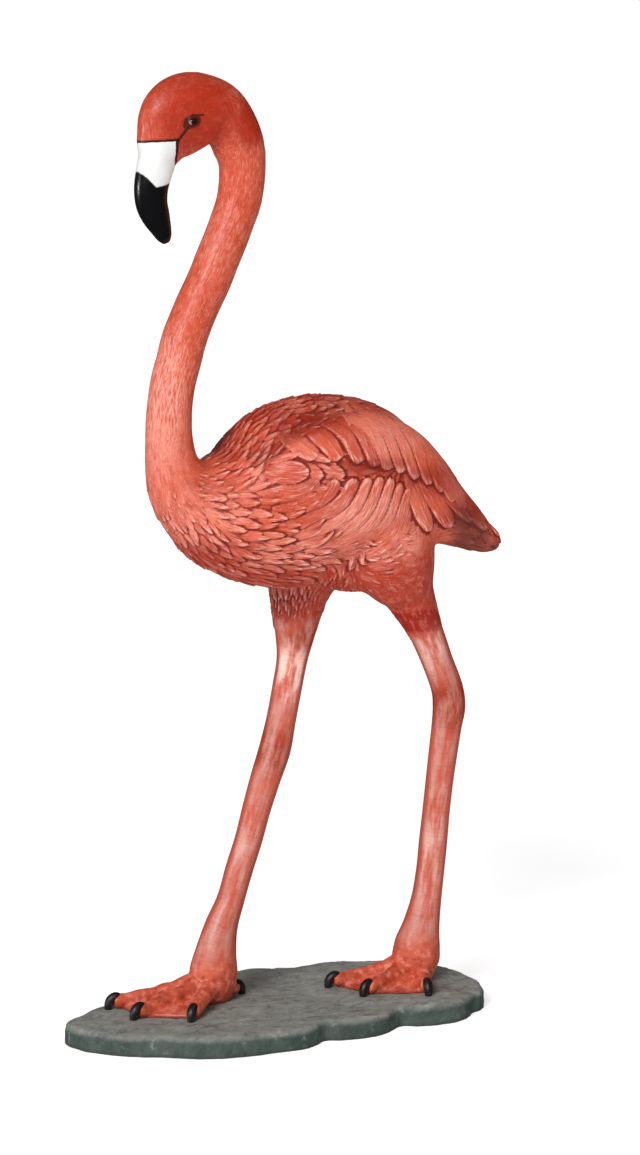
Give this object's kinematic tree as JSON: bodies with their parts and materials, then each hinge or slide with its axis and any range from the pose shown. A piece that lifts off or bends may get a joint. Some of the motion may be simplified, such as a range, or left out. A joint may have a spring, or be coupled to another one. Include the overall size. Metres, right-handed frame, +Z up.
{
  "type": "flamingo sculpture",
  "caption": "Painted flamingo figure with an S-curved neck and hooked bill, feathers carved in relief, striding on a low rock slab.",
  "frame": {"origin": "on the underside of the rock slab, in the bird's middle plane, below its body", "axes": "+Z up, -X the way the bird faces, -Y its left side"},
  "size_m": [0.5315, 0.2414, 1.06],
  "materials": {
    "painted_coral_resin": "satin paint with a dark wash and pale dry-brushed feather edges",
    "painted_grey_resin": "matte stone-coloured paint"
  },
  "bodies": {
    "root": {"flamingo": "painted_coral_resin", "rock_base": "painted_grey_resin"}
  },
  "joints": []
}
